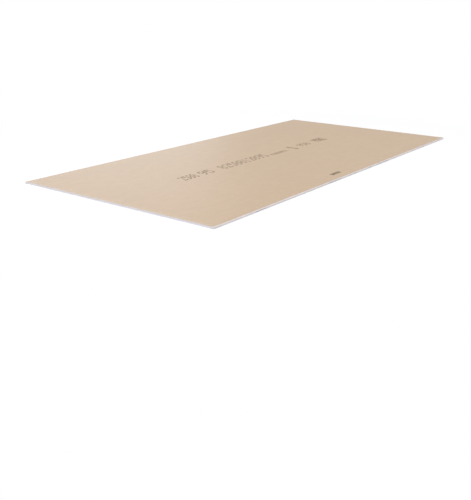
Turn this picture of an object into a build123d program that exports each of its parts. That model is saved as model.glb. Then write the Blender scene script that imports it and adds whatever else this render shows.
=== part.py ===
from build123d import *
import os

# A gypsum board: a cast core between two papers. It lies on its face, with the kraft back up.
# X runs across the sheet, Y along it, and Z up from the surface that it lies on.

# Driving dimensions, in millimetres
sheet_length = 2500.0
sheet_width = 1200.0
sheet_thickness = 9.5
face_paper = 0.4
back_paper = 0.35
taper_width = 50.0
taper_depth = 1.4
edge_radius = 1.2
flap_width = 25.0
bare_flap = 5.0

# What the driving dimensions give
half_width = sheet_width / 2
fold_height = sheet_thickness - back_paper
flap_start = half_width - flap_width


def folded_outline():
    """The outside of the core wrapped in its face paper: tapered beside each long edge, round at each arris."""
    with BuildSketch(Plane.XZ) as outline:
        with BuildLine():
            Polyline(
                (0, 0),
                (half_width - taper_width, 0),
                (half_width, taper_depth),
                (half_width, fold_height),
                (0, fold_height),
            )
            mirror(about=Plane.YZ)
        make_face()
        corners = outline.vertices().group_by(Axis.X)
        fillet(corners[0] + corners[-1], radius=edge_radius)
    return outline.sketch


def between_flaps():
    """The shallow strip of the back that the two folded flaps leave open, one paper deep."""
    with BuildSketch(Plane.XZ) as strip:
        with Locations((0, fold_height)):
            Rectangle(2 * flap_start, face_paper, align=(Align.CENTER, Align.MAX))
    return strip.sketch


# The face paper: one sheet under the board, up both long edges and folded onto the back
with BuildPart() as face_liner:
    with BuildSketch(Plane.XZ):
        add(folded_outline())
        offset(amount=-face_paper, kind=Kind.INTERSECTION, mode=Mode.SUBTRACT)
        add(between_flaps(), mode=Mode.SUBTRACT)
    extrude(amount=sheet_length / 2, both=True)
face_liner.part.label = "face_liner"

# The core: set gypsum that fills the folded paper, flush with the tops of the flaps between them
with BuildPart() as gypsum_core:
    with BuildSketch(Plane.XZ):
        add(folded_outline())
        offset(amount=-face_paper, kind=Kind.INTERSECTION, mode=Mode.REPLACE)
        add(between_flaps())
    extrude(amount=sheet_length / 2, both=True)
gypsum_core.part.label = "gypsum_core"

# The back paper: a flat kraft sheet over core and flaps, which stops short of both long edges
with BuildPart() as back_liner:
    with BuildSketch(Plane.XY.offset(fold_height)):
        Rectangle(sheet_width - 2 * bare_flap, sheet_length)
    extrude(amount=back_paper)
back_liner.part.label = "back_liner"

os.makedirs("parts", exist_ok=True)
for piece in (face_liner, gypsum_core, back_liner):
    export_step(piece.part, f"parts/{piece.part.label}.step")
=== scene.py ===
import math

import bpy
import numpy as np
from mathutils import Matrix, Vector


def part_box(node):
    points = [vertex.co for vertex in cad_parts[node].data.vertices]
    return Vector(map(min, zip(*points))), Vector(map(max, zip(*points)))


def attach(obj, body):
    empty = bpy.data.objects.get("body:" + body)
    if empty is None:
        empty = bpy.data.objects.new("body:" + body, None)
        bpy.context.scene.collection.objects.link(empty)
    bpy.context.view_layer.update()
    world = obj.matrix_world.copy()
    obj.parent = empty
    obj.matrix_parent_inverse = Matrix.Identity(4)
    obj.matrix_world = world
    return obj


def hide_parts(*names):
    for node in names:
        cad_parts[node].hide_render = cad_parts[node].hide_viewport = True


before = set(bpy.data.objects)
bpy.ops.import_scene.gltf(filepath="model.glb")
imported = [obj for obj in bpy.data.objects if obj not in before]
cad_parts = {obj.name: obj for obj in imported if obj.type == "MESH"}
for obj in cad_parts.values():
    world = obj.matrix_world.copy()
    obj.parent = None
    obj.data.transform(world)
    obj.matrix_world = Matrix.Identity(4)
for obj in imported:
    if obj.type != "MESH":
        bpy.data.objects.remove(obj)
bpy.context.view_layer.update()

# The face paper
# A smooth, light sheet of recycled liner, the first thing to go down the line. It lies under the whole board,
# is creased up round both long edges and folded onto the back, and the wet core bonds to it as it sets.
MM = 0.001
_, face_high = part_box("face_liner")
_, core_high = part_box("gypsum_core")
half_width = face_high.x
half_length = face_high.y
fold_height = face_high.z
paper = face_high.x - core_high.x
taper_width = 50 * MM
taper_depth = 1.4 * MM
taper_ease = 8 * MM
edge_radius = 1.2 * MM
flap_width = 25 * MM
edge_wander = 0.12 * MM
# How many points each stretch of the section has, shared ends counted: the flat face, the last straight part
# of the taper, an arris, the side and the flap.
flat_steps = 12
taper_steps = 5
straight_taper = 30 * MM
arc_steps = 7
side_steps = 7
flap_steps = 6
# Where points stand over the eased part of the taper and just past it, as shares of that part's width.
ease_steps = (0.2, 0.45, 0.7, 1.0, 1.5)
# Sections stand about this far apart along the sheet, and at these millimetres from each cut end.
station_gap = 12 * MM
end_stations = (0, 0.4, 1.2, 3, 7)


def wandering(y, waves):
    """A slow wander between 0 and 1 along the sheet; each wave is its length in metres and its phase."""
    total = sum(np.sin(2 * math.pi * y / length + phase) for length, phase in waves)
    return 0.5 + 0.5 * total / len(waves)


def edge_inset(y, side):
    """How far the long edge stands in from the true line at y, on the left (-1) or the right (1)."""
    waves = [(0.73, 0.4 + side), (0.31, 2.1 * side), (0.14, 1.3 - side)]
    return edge_wander * wandering(y, waves)


def face_side(x, inset=0.0):
    """Height of the finish face at x, or of a line inset into the paper: flat, then eased into the taper."""
    run = np.maximum(np.abs(x) - (half_width - taper_width), 0.0)
    slope = taper_depth / taper_width
    eased = np.where(run < taper_ease, run * run / (2 * taper_ease), run - taper_ease / 2)
    return slope * eased + inset


def arc(centre_x, centre_z, radius, start, end):
    """Points of a round arris, from one angle to the other in degrees."""
    turn = np.radians(np.linspace(start, end, arc_steps))
    return [(centre_x + radius * math.cos(a), centre_z + radius * math.sin(a)) for a in turn]


def half_wrap(inset):
    """One side of the folded paper as (x, z), from the middle of the face round to the flap's edge."""
    round_x = half_width - edge_radius
    radius = edge_radius - inset
    taper_x = half_width - taper_width
    face_x = np.concatenate(
        [
            np.linspace(0, taper_x, flat_steps),
            taper_x + np.array(ease_steps) * taper_ease,
            np.linspace(half_width - straight_taper, round_x, taper_steps)[:-1],
        ]
    )
    face = [(x, float(face_side(x, inset))) for x in face_x]
    lower = float(face_side(round_x)) + edge_radius
    upper = fold_height - edge_radius
    side = [(half_width - inset, z) for z in np.linspace(lower, upper, side_steps)[1:-1]]
    flap = [(x, fold_height - inset) for x in np.linspace(round_x, half_width - flap_width, flap_steps)[1:]]
    return face + arc(round_x, lower, radius, -90, 0) + side + arc(round_x, upper, radius, 0, 90) + flap


def whole_wrap(inset):
    """The folded paper's section from the left flap's edge, under the board, to the right flap's edge."""
    right = half_wrap(inset)
    left = [(-x, z) for x, z in reversed(right[1:])]
    return np.array(left + right)


def stations():
    """Places along the sheet where a section stands, close together beside both cut ends."""
    near_end = np.array(end_stations) * MM
    reach = half_length - station_gap
    inner = np.linspace(-reach, reach, round(2 * half_length / station_gap))
    return np.concatenate([-half_length + near_end, inner, half_length - near_end[::-1]])


def mesh_piece(name, points, faces, smooth_below=35):
    """A new mesh object at the sheet's origin, smooth except over edges sharper than the angle in degrees."""
    mesh = bpy.data.meshes.new(name)
    mesh.from_pydata([tuple(p) for p in points], [], [tuple(int(i) for i in face) for face in faces])
    mesh.update()
    piece = bpy.data.objects.new(name, mesh)
    bpy.context.scene.collection.objects.link(piece)
    mesh.shade_smooth()
    mesh.set_sharp_from_angle(angle=math.radians(smooth_below))
    return piece


def lofted(count, number):
    """Faces of a tube through a number of closed loops of equal count, numbered loop by loop, facing out."""
    faces = []
    for s in range(number - 1):
        for i in range(count):
            j = (i + 1) % count
            a, b = s * count, (s + 1) * count
            faces.append((a + i, b + i, b + j, a + j))
    return faces


def folded_paper():
    """The wrap as one closed mesh: the outside and the inside line of the paper, lofted along the sheet."""
    outside = whole_wrap(0.0)
    inside = whole_wrap(paper)[::-1]
    section = np.concatenate([outside, inside])
    count, last = len(section), len(outside) - 1
    along = stations()
    drawn_in = 2 * flap_width
    points = []
    for y in along:
        x = section[:, 0].copy()
        for side in (-1, 1):
            near = np.clip((side * x - (half_width - drawn_in)) / drawn_in, 0, 1)
            x -= side * near * edge_inset(y, side)
        points.append(np.column_stack([x, np.full(count, y), section[:, 1]]))
    ends = []
    for start, flip in ((0, True), ((len(along) - 1) * count, False)):
        for i in range(last):
            quad = (start + i, start + count - 1 - i, start + count - 2 - i, start + i + 1)
            ends.append(quad[::-1] if flip else quad)
    return mesh_piece("face_paper", np.concatenate(points), lofted(count, len(along)) + ends)


def srgb(code):
    """A colour written as sRGB hex, as the linear colour that a shader takes."""
    parts = [int(code[i : i + 2], 16) / 255 for i in (1, 3, 5)]
    return tuple(c / 12.92 if c <= 0.04045 else ((c + 0.055) / 1.055) ** 2.4 for c in parts) + (1.0,)


def add_node(tree, kind, sockets=None, **settings):
    """Adds a node with its settings; sockets maps an input's name or number to its value or to its source."""
    made = tree.nodes.new("ShaderNode" + kind)
    for name, value in settings.items():
        setattr(made, name, value)
    for name, value in (sockets or {}).items():
        if isinstance(value, bpy.types.NodeSocket):
            tree.links.new(value, made.inputs[name])
        else:
            made.inputs[name].default_value = value
    return made


def blank_material(name):
    """A named material with its principled shader alone, and the sheet's own coordinates in metres."""
    material = bpy.data.materials.new(name)
    material.use_nodes = True
    tree = material.node_tree
    tree.nodes.clear()
    shader = add_node(tree, "BsdfPrincipled")
    add_node(tree, "OutputMaterial", {"Surface": shader.outputs["BSDF"]})
    place = add_node(tree, "TexCoord").outputs["Object"]
    return material, tree, shader, place


def grains(tree, place, size_mm, stretch=(1, 1, 1), turn=0.0, detail=2.0):
    """A pattern of grains size_mm across, drawn out by stretch and turned in the sheet's plane; 0 to 1."""
    scale = tuple(1 / (size_mm * MM * s) for s in stretch)
    turned = add_node(tree, "Mapping", {"Vector": place, "Rotation": (0, 0, math.radians(turn))})
    drawn = add_node(tree, "VectorMath", {0: turned.outputs[0], 1: scale}, operation="MULTIPLY")
    noise = {"Vector": drawn.outputs[0], "Scale": 1.0, "Detail": detail}
    return add_node(tree, "TexNoise", noise).outputs["Fac"]


def layered(tree, pattern, low, high, strength, under, over):
    """One colour laid over another where a pattern goes from low to high, and at most that strongly."""
    spread = {"Value": pattern, "From Min": low, "From Max": high, "To Max": strength}
    amount = add_node(tree, "MapRange", spread, interpolation_type="SMOOTHSTEP").outputs["Result"]
    return add_node(tree, "Mix", {0: amount, 6: under, 7: over}, data_type="RGBA").outputs[2]


def calendered_liner():
    """Recycled white-top liner, pressed smooth: dull, pale and faintly lilac, with grey and pale fibres."""
    material, tree, shader, place = blank_material("calendered_face_liner")
    clouds = grains(tree, place, 22, (1, 2, 1))
    colour = layered(tree, clouds, 0.3, 0.7, 1.0, srgb("#E4DEDE"), srgb("#EAE4E4"))
    # Real fibres are 2 mm long and 0.03 mm wide. The grain drawn here is 8 mm by 0.9 mm, so that they show.
    fibres = grains(tree, place, 0.9, (1, 9, 3), turn=12, detail=1)
    colour = layered(tree, fibres, 0.62, 0.74, 0.30, colour, srgb("#B9B2B4"))
    crossed = grains(tree, place, 0.9, (1, 9, 3), turn=-31, detail=1)
    colour = layered(tree, crossed, 0.63, 0.75, 0.25, colour, srgb("#F0EBE6"))
    pressed = grains(tree, place, 0.7, (1, 3, 1), detail=3)
    relief = add_node(tree, "Bump", {"Height": pressed, "Distance": 0.02 * MM, "Strength": 1.0})
    tree.links.new(colour, shader.inputs["Base Color"])
    tree.links.new(relief.outputs["Normal"], shader.inputs["Normal"])
    shader.inputs["Roughness"].default_value = 0.62
    shader.inputs["IOR"].default_value = 1.45
    return material


face_paper = folded_paper()
face_paper.data.materials.append(calendered_liner())
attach(face_paper, "root")
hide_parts("face_liner")

# The core
# Foamed gypsum plaster that sets between the papers as the board runs down the line. It shows only on the two
# ends, where the saw leaves it dull and chalky, with open bubbles and the papers standing a hair proud of it.
# The points of an end stand about column_gap apart in core_rows rows, at these angles in degrees round an
# arris, and rebate_step to each side of the step where a flap's edge is let in.
column_gap = 0.6 * MM
core_rows = 14
arris_angles = (15, 30, 45, 60, 75, 90)
rebate_step = 0.01 * MM
# The saw lines lean by a share of their height. Their slow sway and fading turn one radian in these lengths.
saw_depth = 0.10 * MM
saw_pitch = 1.9 * MM
saw_slant = 0.35
saw_sway = 41 * MM
saw_fade = 67 * MM
grit_depth = 0.07 * MM
# Most real bubbles are under 1 mm across. Those in the mesh are 1.4 to 3 mm, so that its points can show
# them, and the smaller ones are in the material.
bubbles_per_end = 420
bubble_radius = (0.7 * MM, 1.5 * MM)
deepest = 1.0 * MM
# Down to the first depth from an end the sides touch the papers. Past the second they stand in by a hair.
flush_depth = 3 * MM
sunk_depth = 8 * MM
papered_inset = 0.02 * MM
core_random = np.random.default_rng(31)


def core_columns():
    """Places across the core's end where an upright row of points stands, closer round each arris."""
    round_start = half_width - edge_radius
    rounded = round_start + (edge_radius - paper) * np.sin(np.radians(np.array(arris_angles)))
    rebate = half_width - flap_width
    middle = np.linspace(0, rebate - rebate_step, round(rebate / column_gap))
    outer_count = round((flap_width - edge_radius) / column_gap)
    outer = np.linspace(rebate + rebate_step, round_start, outer_count)
    right = np.concatenate([middle, outer, np.minimum(rounded, core_high.x)])
    return np.concatenate([-right[:0:-1], right])


def core_span(x):
    """The core's lowest and highest point at each x: inside the paper, under the flaps, round the arrises."""
    radius = edge_radius - paper
    over = np.clip(np.abs(x) - (half_width - edge_radius), 0, radius)
    drop = radius - np.sqrt(np.maximum(radius * radius - over * over, 0))
    low = face_side(np.minimum(np.abs(x), half_width - edge_radius), paper) + drop
    high = np.where(np.abs(x) > half_width - flap_width, fold_height - paper, fold_height) - drop
    return low, high


def sawn_end(x, z):
    """How far each point of a sawn end lies back from the cut: saw lines, grit and open bubbles."""
    phase = 2 * math.pi * (x + saw_slant * z) / saw_pitch + 2 * np.sin(x / saw_sway)
    lines = 0.5 + 0.5 * np.sin(phase)
    depth = saw_depth * lines * (0.5 + 0.5 * np.sin(x / saw_fade) ** 2)
    depth += grit_depth * core_random.random(x.shape)
    for _ in range(bubbles_per_end):
        radius = bubble_radius[0] + (bubble_radius[1] - bubble_radius[0]) * core_random.random() ** 3
        centre_x = core_random.uniform(-half_width, half_width)
        centre_z = core_random.uniform(0, fold_height)
        near = slice(*np.searchsorted(x[:, 0], (centre_x - radius, centre_x + radius)))
        away = (x[near] - centre_x) ** 2 + (z[near] - centre_z) ** 2
        bowl = np.sqrt(np.maximum(radius * radius - away, 0))
        depth[near] = np.maximum(depth[near], bowl)
    return np.minimum(depth, deepest)


def grid_rim(index):
    """The points round the rim of a numbered grid, in order."""
    return np.concatenate([index[:, 0], index[-1, 1:], index[-2::-1, -1], index[0, -2:0:-1]])


def grid_squares(index, turned=False):
    """The squares of a numbered grid, four corners each, and the other way round where turned."""
    a, b, c, d = index[:-1, :-1], index[1:, :-1], index[1:, 1:], index[:-1, 1:]
    return np.stack([a, d, c, b] if turned else [a, b, c, d], axis=-1).reshape(-1, 4)


def cast_core():
    """The core as one closed mesh: two sawn ends, joined by plain sides that the papers cover."""
    across = core_columns()
    low, high = core_span(across)
    rise = np.linspace(0, 1, core_rows)
    x = np.repeat(across[:, None], core_rows, axis=1)
    z = low[:, None] + (high - low)[:, None] * rise[None, :]
    index = np.arange(x.size).reshape(x.shape)
    rim = grid_rim(index)
    points, faces, rims = [], [], []
    total = 0
    for side in (-1, 1):
        y = side * (half_length - sawn_end(x, z))
        points.append(np.column_stack([x.ravel(), y.ravel(), z.ravel()]))
        faces += list(grid_squares(index, turned=side > 0) + total)
        rims.append(rim + total)
        total += x.size
    middle = np.array([0, 0, (fold_height + paper) / 2])
    rim_flat = np.column_stack([x.ravel()[rim], np.zeros(len(rim)), z.ravel()[rim]])
    inward = np.sign(middle - rim_flat) * papered_inset
    inward[:, 1] = 0
    flush, sunk = half_length - flush_depth, half_length - sunk_depth
    chain = [rims[0]]
    for y, shrink in ((-flush, 0), (-sunk, 1), (sunk, 1), (flush, 0)):
        ring = rim_flat + shrink * inward
        ring[:, 1] = y
        points.append(ring)
        chain.append(np.arange(total, total + len(rim)))
        total += len(rim)
    chain.append(rims[1])
    for near, far in zip(chain[:-1], chain[1:]):
        faces += list(np.stack([near, far, np.roll(far, -1), np.roll(near, -1)], axis=-1))
    return mesh_piece("cast_core", np.concatenate(points), faces, smooth_below=50)


def foamed_gypsum():
    """Set plaster, sawn: a chalky, cool white that scatters light evenly, with painted shade greying each
    open bubble.
    """
    material, tree, shader, place = blank_material("sawn_foamed_gypsum")
    colour = layered(tree, grains(tree, place, 9), 0.3, 0.7, 1.0, srgb("#EDEBF1"), srgb("#F4F2F6"))
    chalk = {"Height": grains(tree, place, 0.35, detail=4), "Distance": 0.08 * MM, "Strength": 1.0}
    relief = add_node(tree, "Bump", chalk).outputs["Normal"]
    # Bubbles of two sizes, at most one in a cell of so many millimetres, with radii up to a third of that.
    for cell, painted_shade, depth in ((2.1, 0.50, 0.30), (0.8, 0.35, 0.12)):
        cells = add_node(tree, "TexVoronoi", {"Vector": place, "Scale": 1 / (cell * MM)}).outputs
        sizes = {"Value": cells["Color"], "From Min": 0.35, "From Max": 0.85, "To Max": 0.34}
        radius = add_node(tree, "MapRange", sizes, interpolation_type="SMOOTHSTEP").outputs["Result"]
        inside = add_node(tree, "Math", {0: radius, 1: cells["Distance"]}, operation="SUBTRACT").outputs[0]
        # Painted shade: the colour greys inside each bubble, fully a little in from its rim, where its hollow
        # lies in shade.
        colour = layered(tree, inside, 0.0, 0.14, painted_shade, colour, srgb("#B3AFB8"))
        bowl = {"Value": inside, "From Min": 0.0, "From Max": 0.26, "To Min": 1.0, "To Max": 0.0}
        sunk = add_node(tree, "MapRange", bowl, interpolation_type="SMOOTHSTEP").outputs["Result"]
        dent = {"Height": sunk, "Distance": depth * MM, "Strength": 1.0, "Normal": relief}
        relief = add_node(tree, "Bump", dent).outputs["Normal"]
    tree.links.new(colour, shader.inputs["Base Color"])
    tree.links.new(relief, shader.inputs["Normal"])
    shader.inputs["Roughness"].default_value = 0.95
    shader.inputs["IOR"].default_value = 1.52
    return material


core = cast_core()
core.data.materials.append(foamed_gypsum())
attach(core, "root")
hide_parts("gypsum_core")

# The back paper
# Unbleached kraft, laid over the wet core and the two flaps as the top web of the line. It stops a few
# millimetres short of each long edge, so a pale line of the flap stays bare, and its slit edge wavers.
back_low, back_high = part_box("back_liner")
ink_film = 0.02 * MM
kraft_top = back_high.z - ink_film
# The cockle is a fine wave across the sheet that bends along it, and a longer slanting one. Its lengths are
# metres to a radian, and the bend is in radians.
cockle = 0.03 * MM
fine_wave = 0.11
fine_bend = 0.6
bend_wave = 0.4
long_wave = 0.31
long_slant = 0.27
slit_wander = 0.5 * MM
slit_gap = 5 * MM
# The slit edge's wander dies out over this zone, which has its own points, so many millimetres from the edge.
slit_zone = 20 * MM
slit_steps = (10, 4, 1.2, 0.3, 0)
kraft_steps = 14
dust_reach = 30 * MM


def slit_inset(y, side):
    """How far the slit edge stands in from the straight line at y, on the left (-1) or the right (1)."""
    waves = [(0.91, 1.1 * side), (0.23, 0.7 + side), (0.061, 2.9 * side), (0.027, 1.7 - side)]
    return slit_wander * wandering(y, waves)


def kraft_sheet():
    """The back paper as one closed mesh: a top that cockles very slightly, a flat underside and cut edges."""
    reach = back_high.x
    zone_start = reach - slit_zone
    right = np.concatenate([np.linspace(0, zone_start, kraft_steps), reach - np.array(slit_steps) * MM])
    across = np.concatenate([-right[:0:-1], right])
    along = np.linspace(-half_length, half_length, round(2 * half_length / slit_gap) + 1)
    x, y = np.meshgrid(across, along, indexing="ij")
    for side in (-1, 1):
        near = np.clip((side * x - zone_start) / slit_zone, 0, 1)
        x = x - side * near * slit_inset(y, side)
    fine = np.sin(x / fine_wave + fine_bend * np.sin(y / bend_wave))
    slanting = np.sin(y / long_wave + x / long_slant)
    top = kraft_top - cockle * (0.5 + 0.25 * fine + 0.25 * slanting)
    index = np.arange(x.size).reshape(x.shape)
    rim = grid_rim(index)
    following = np.roll(rim, -1)
    sides = np.stack([rim, rim + x.size, following + x.size, following], axis=-1)
    points = np.concatenate(
        [
            np.column_stack([x.ravel(), y.ravel(), top.ravel()]),
            np.column_stack([x.ravel(), y.ravel(), np.full(x.size, back_low.z)]),
        ]
    )
    underside = grid_squares(index, turned=True) + x.size
    return mesh_piece("kraft_back", points, np.concatenate([grid_squares(index), underside, sides]))


def unbleached_kraft():
    """Kraft liner: a matt, warm sand brown, cloudy where the pulp formed unevenly, with long fibres in it."""
    material, tree, shader, place = blank_material("unbleached_kraft_liner")
    clouds = grains(tree, place, 34, (1, 1.8, 1), detail=3)
    colour = layered(tree, clouds, 0.3, 0.7, 1.0, srgb("#C6AC8F"), srgb("#C9AF92"))
    # Streaks of the paper machine, then dark and pale fibres. Real fibres are 3 mm long and 0.04 mm wide. The
    # grain drawn here is about 12 mm by 1.4 mm, so that they show. Two smooth steps give them a firm edge.
    for pattern, low, high, strength, shade in (
        (grains(tree, place, 26, (1, 30, 1)), 0.35, 0.65, 0.10, "#C1A688"),
        (grains(tree, place, 1.3, (1, 9, 3), turn=17, detail=1), 0.63, 0.76, 0.30, "#A68B6C"),
        (grains(tree, place, 1.5, (1, 8, 3), turn=-24, detail=1), 0.62, 0.75, 0.28, "#E2D2BE"),
    ):
        step = {"Value": pattern, "From Min": low, "From Max": high}
        firm = add_node(tree, "MapRange", step, interpolation_type="SMOOTHSTEP").outputs["Result"]
        colour = layered(tree, firm, 0.0, 1.0, strength, colour, srgb(shade))
    # Shives: specks of bark and wood, at most one in each cell of 16 mm.
    specks = add_node(tree, "TexVoronoi", {"Vector": place, "Scale": 1 / (16 * MM)}).outputs["Distance"]
    colour = layered(tree, specks, 0.075, 0.04, 0.45, colour, srgb("#8E7354"))
    # Plaster dust from the saw lies in patches on the last few centimetres of the paper at each end.
    along = add_node(tree, "SeparateXYZ", {"Vector": place}).outputs["Y"]
    from_middle = add_node(tree, "Math", {0: along}, operation="ABSOLUTE").outputs[0]
    dust_start = half_length - dust_reach
    end_zone = {"Value": from_middle, "From Min": dust_start, "From Max": half_length, "To Max": 0.25}
    near_end = add_node(tree, "MapRange", end_zone, interpolation_type="SMOOTHSTEP").outputs["Result"]
    patches = {"Value": grains(tree, place, 6, detail=4), "From Min": 0.35, "From Max": 0.65}
    patchy = add_node(tree, "MapRange", patches, interpolation_type="SMOOTHSTEP").outputs["Result"]
    dust = add_node(tree, "Math", {0: near_end, 1: patchy}, operation="MULTIPLY").outputs[0]
    colour = add_node(tree, "Mix", {0: dust, 6: colour, 7: srgb("#EEE9E4")}, data_type="RGBA").outputs[2]
    felt = grains(tree, place, 0.9, (1, 2.5, 1), detail=4)
    relief = add_node(tree, "Bump", {"Height": felt, "Distance": 0.02 * MM, "Strength": 1.0})
    tree.links.new(colour, shader.inputs["Base Color"])
    tree.links.new(relief.outputs["Normal"], shader.inputs["Normal"])
    shader.inputs["Roughness"].default_value = 0.46
    shader.inputs["IOR"].default_value = 1.45
    shader.inputs["Specular IOR Level"].default_value = 0.3
    return material


kraft_back = kraft_sheet()
kraft_back.data.materials.append(unbleached_kraft())
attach(kraft_back, "root")
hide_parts("back_liner")

# The print
# Grey-brown water ink, thrown as dots by print heads over the moving board: large plain numbers down the
# middle of the back, one small dark row beside a long edge, and small rows on the two wrapped edges.
# Each digit is seven rows of five cells. In binary, a row's number has a 1 for each cell that is inked.
digit_rows = {
    "0": (14, 17, 19, 21, 25, 17, 14),
    "1": (4, 12, 4, 4, 4, 4, 14),
    "2": (14, 17, 1, 2, 4, 8, 31),
    "5": (31, 16, 30, 1, 1, 17, 14),
    "9": (14, 17, 17, 15, 1, 2, 12),
}
cells_high = 7
cells_wide = 5
# Digits stand this many cells apart, and a cell is at most this many drops wide and high.
digit_space = 1.2
widest_cell = 2
# A drop spreads to a blunt square: its flats almost reach the next drop, its corners are cut to this share.
# No two drops are quite alike, in size or at their corners, and the ink goes a little way into the paper.
dot_shape = [(1, 0.6), (0.6, 1), (-0.6, 1), (-1, 0.6), (-1, -0.6), (-0.6, -1), (0.6, -1), (1, -0.6)]
drop_sizes = (0.88, 1.0)
corner_sizes = (0.9, 1.0)
ink_depth = 3 * ink_film
# How much of the way to the next drop the largest one fills, on the back and on the edges.
back_cover = 0.98
edge_cover = 0.95
# Each row of the back print: its numbers, where it starts and ends along the sheet and its top and foot
# across it, in millimetres, how many dots wide a stroke is, and whether its head throws full or thin drops.
back_rows = [
    ("2500", -739, -613, -56, 12, 2, "full"),
    ("95", -584, -482, -56, 12, 2, "full"),
    ("0250012095", -411, 30, -60, 12, 2, "thin"),
    ("0120025009512", 50, 223, -14, 16, 2, "full"),
    ("1", 276, 330, -56, 24, 3, "thin"),
    ("950", 383, 505, -44, 10, 2, "thin"),
    ("9502", 580, 706, -56, 8, 3, "thin"),
]
side_row = ("25009502900", -174, -80, 519, 541, 3)
# The rows on a wrapped edge, in millimetres: where each starts and ends, its digits' pitch, foot and top.
edge_row_spans = [(-961, -886), (-320, -195), (-107, -16), (117, 168), (219, 367), (861, 912)]
edge_digits = "120025009512500"
edge_pitch = 5
edge_print_low = 2.7
edge_print_high = 6.9
print_random = np.random.default_rng(7)


def digit_dots(digit, stroke):
    """A digit as rows of true and false, true where a drop falls; a stroke of 3 dots is a bold one of 2."""
    columns = range(cells_wide)
    rows = [[bits >> (cells_wide - 1 - column) & 1 for column in columns] for bits in digit_rows[digit]]
    cell = min(stroke, widest_cell)
    dots = np.kron(np.array(rows, bool), np.ones((cell, cell), bool))
    if stroke > cell:
        dots = np.pad(dots, ((0, 1), (0, 1)))
        dots = dots | np.roll(dots, 1, axis=0)
        dots = dots | np.roll(dots, 1, axis=1)
    return dots


def printed_dots(row):
    """Each dot of a row of numbers, as its place along the row and down it, and a dot's two sizes."""
    text, start, end, top, foot, stroke = row
    cell = min(stroke, widest_cell)
    pitch = (end - start) / len(text)
    step_along = pitch / (cells_wide + digit_space) / cell
    step_down = (foot - top) / cells_high / cell
    places = []
    for number, digit in enumerate(text):
        for down, along in np.argwhere(digit_dots(digit, stroke)):
            left = start + number * pitch + digit_space / 2 * cell * step_along
            places.append((left + (along + 0.5) * step_along, top + (down + 0.5) * step_down))
    return places, (abs(step_along), abs(step_down))


def ink_dots(name, centres, along, down, out, sizes, cover):
    """Thin closed flecks of ink at the centres; along, down and out are the printed surface's directions."""
    points, faces = [], []
    corners = len(dot_shape)
    for centre in centres:
        grown = cover * print_random.uniform(*drop_sizes)
        shrunk = np.array(dot_shape) * print_random.uniform(*corner_sizes, (corners, 1)) * grown / 2
        shrunk += print_random.uniform(-0.5, 0.5, 2) * (1 - grown)
        ring = np.outer(shrunk[:, 0] * sizes[0], along) + np.outer(shrunk[:, 1] * sizes[1], down)
        base = len(points)
        points += list(centre + ring)
        points += list(centre + ring - ink_depth * out)
        top = tuple(range(base, base + corners))
        foot = tuple(range(base + corners, base + 2 * corners))
        faces += [top[::-1], foot]
        for i in range(corners):
            j = (i + 1) % corners
            faces.append((top[i], top[j], foot[j], foot[i]))
    return mesh_piece(name, points, faces)


def soaked_ink(name, dark, pale):
    """Water ink soaked into paper: matt, uneven from fibre to fibre, darkest where the drops ran together."""
    material, tree, shader, place = blank_material(name)
    soaked = layered(tree, grains(tree, place, 3.5, detail=4), 0.35, 0.7, 1.0, srgb(dark), srgb(pale))
    tree.links.new(soaked, shader.inputs["Base Color"])
    shader.inputs["Roughness"].default_value = 0.8
    shader.inputs["IOR"].default_value = 1.4
    shader.inputs["Specular IOR Level"].default_value = 0.1
    return material


across_sheet, along_sheet, upward = np.eye(3)


def back_print(name, row, ink):
    """A row of numbers on the back."""
    places, sizes = printed_dots(row)
    centres = [np.array([x * MM, y * MM, back_high.z]) for y, x in places]
    piece = ink_dots(name, centres, along_sheet, across_sheet, upward, np.array(sizes) * MM, back_cover)
    piece.data.materials.append(ink)
    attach(piece, "root")


brown_inks = {
    "full": soaked_ink("soaked_brown_ink", "#66523C", "#7C6750"),
    "thin": soaked_ink("thin_brown_ink", "#7D6D58", "#937F6B"),
}
black_ink = soaked_ink("soaked_black_ink", "#1E1710", "#2C231A")
for number, (*row, drops) in enumerate(back_rows):
    back_print(f"back_print_{number + 1}", row, brown_inks[drops])
back_print("side_print", side_row, black_ink)


def edge_print(name, side):
    """The small rows of numbers on one wrapped long edge, side -1 for the left and 1 for the right."""
    centres = []
    for start, end in edge_row_spans:
        count = round((end - start) / edge_pitch)
        text = "".join(edge_digits[i % len(edge_digits)] for i in range(count))
        places, sizes = printed_dots((text, start, end, edge_print_high, edge_print_low, 1))
        for along, z in places:
            y = side * along * MM
            x = side * min(half_width - edge_inset(y, side) + ink_film / 2, half_width)
            centres.append(np.array([x, y, z * MM]))
    out = side * across_sheet
    piece = ink_dots(name, centres, side * along_sheet, -upward, out, np.array(sizes) * MM, edge_cover)
    piece.data.materials.append(soaked_ink(name + "_ink", "#6B6470", "#8B8490"))
    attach(piece, "root")


edge_print("edge_print_left", -1)
edge_print("edge_print_right", 1)

# The studio
# A pale floor that runs off past the picture on all sides, an even sky, a broad key lamp high over the near
# end, and a low, cool panel behind the left that gives the paper its sheen. Floor and sky show white.
floor_reach = 60.0
# Between these distances from the sheet's middle, in metres, the floor turns plain white to the eye.
shadow_reach = 1.45
white_from = 2.1
# The strength of the sky's light on the sheet, and how much lighter the floor shows than it is lit.
sky_light = 0.60
floor_lift = 0.15


def seen_directly(tree):
    """1 for what the camera or a reflection sees, 0 for the light that falls on the sheet."""
    path = add_node(tree, "LightPath").outputs
    seen = path["Is Camera Ray"]
    for other in ("Is Glossy Ray", "Is Transmission Ray"):
        seen = add_node(tree, "Math", {0: seen, 1: path[other]}, operation="MAXIMUM").outputs[0]
    return seen


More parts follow.
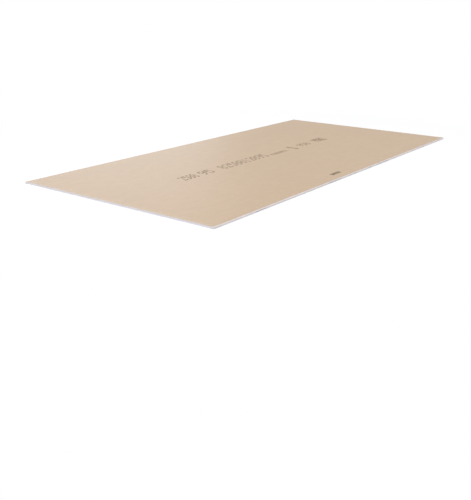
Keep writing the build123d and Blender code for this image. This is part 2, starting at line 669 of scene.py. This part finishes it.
def pale_floor():
    """A matt white floor that keeps the sheet's shadow, and is plain paper white further off."""
    mesh = bpy.data.meshes.new("floor")
    r = floor_reach
    mesh.from_pydata([(-r, -r, 0), (r, -r, 0), (r, r, 0), (-r, r, 0)], [], [(0, 1, 2, 3)])
    floor = bpy.data.objects.new("floor", mesh)
    bpy.context.scene.collection.objects.link(floor)
    material, tree, shader, place = blank_material("pale_floor")
    shader.inputs["Base Color"].default_value = srgb("#F4F4F5")
    shader.inputs["Roughness"].default_value = 0.9
    shader.inputs["Specular IOR Level"].default_value = 0.0
    shader.inputs["Emission Color"].default_value = (1, 1, 1, 1)
    seen = seen_directly(tree)
    lift = add_node(tree, "Math", {0: seen, 1: floor_lift}, operation="MULTIPLY").outputs[0]
    tree.links.new(lift, shader.inputs["Emission Strength"])
    away = add_node(tree, "VectorMath", {0: place}, operation="LENGTH").outputs["Value"]
    beyond = {"Value": away, "From Min": shadow_reach, "From Max": white_from}
    far = add_node(tree, "MapRange", beyond, interpolation_type="SMOOTHSTEP").outputs["Result"]
    plain = add_node(tree, "Math", {0: far, 1: seen}, operation="MULTIPLY").outputs[0]
    white = add_node(tree, "Emission", {"Color": (1, 1, 1, 1), "Strength": 1.0}).outputs[0]
    shown = add_node(tree, "MixShader", {0: plain, 1: shader.outputs["BSDF"], 2: white}).outputs[0]
    tree.links.new(shown, tree.nodes["Material Output"].inputs["Surface"])
    mesh.materials.append(material)


def even_sky():
    """A world that lights the sheet at an even level and shows white to the camera and in reflections."""
    world = bpy.data.worlds.new("even_sky")
    bpy.context.scene.world = world
    world.use_nodes = True
    tree = world.node_tree
    tree.nodes.clear()
    reach = {"Value": seen_directly(tree), "To Min": sky_light, "To Max": 1.0}
    strength = add_node(tree, "MapRange", reach).outputs["Result"]
    background = add_node(tree, "Background", {"Color": (1, 1, 1, 1), "Strength": strength})
    add_node(tree, "OutputWorld", {"Surface": background.outputs[0]})


def panel_lamp(name, place, aim, width, height, watts, colour):
    """A panel of soft light at a place, turned to face its aim."""
    lamp = bpy.data.lights.new(name, "AREA")
    lamp.shape = "RECTANGLE"
    lamp.size, lamp.size_y = width, height
    lamp.energy = watts
    lamp.color = srgb(colour)[:3]
    panel = bpy.data.objects.new(name, lamp)
    bpy.context.scene.collection.objects.link(panel)
    panel.location = place
    panel.rotation_mode = "QUATERNION"
    panel.rotation_quaternion = (Vector(aim) - Vector(place)).to_track_quat("-Z", "Y")


pale_floor()
even_sky()
panel_lamp("key", (1.6, -3.0, 8.6), (0, 0, 0), 5.0, 5.0, 360, "#FFFFFF")
panel_lamp("sheen", (-6.21, 3.78, 1.8), (-0.3, -0.9, 0), 4.6, 2.6, 69, "#E7F3FF")

# The camera
# It stands off the near corner at about waist height and looks down along the sheet, at the photograph's
# angle. Its focal length is in pixels of a picture 500 high, and its angles are in degrees.
picture_height_px = 500
focal_px = 684.0
sensor_mm = 36.0
camera_place = (2.223, -3.290, 0.8535)
camera_azimuth = 36.58
camera_elevation = 19.84
camera_roll = 0.45
camera_sees_to = 200

camera = bpy.data.objects.new("camera", bpy.data.cameras.new("camera"))
bpy.context.scene.collection.objects.link(camera)
camera.data.sensor_width = sensor_mm
camera.data.lens = focal_px / picture_height_px * sensor_mm
camera.location = camera_place
turn, tilt = math.radians(camera_azimuth), math.radians(camera_elevation)
forward = Vector((-math.sin(turn) * math.cos(tilt), math.cos(turn) * math.cos(tilt), -math.sin(tilt)))
level = forward.to_track_quat("-Z", "Y").to_matrix()
camera.rotation_mode = "XYZ"
camera.rotation_euler = (level @ Matrix.Rotation(math.radians(camera_roll), 3, "Z")).to_euler()
camera.data.clip_end = camera_sees_to
bpy.context.scene.camera = camera
bpy.context.scene.view_settings.view_transform = "Standard"
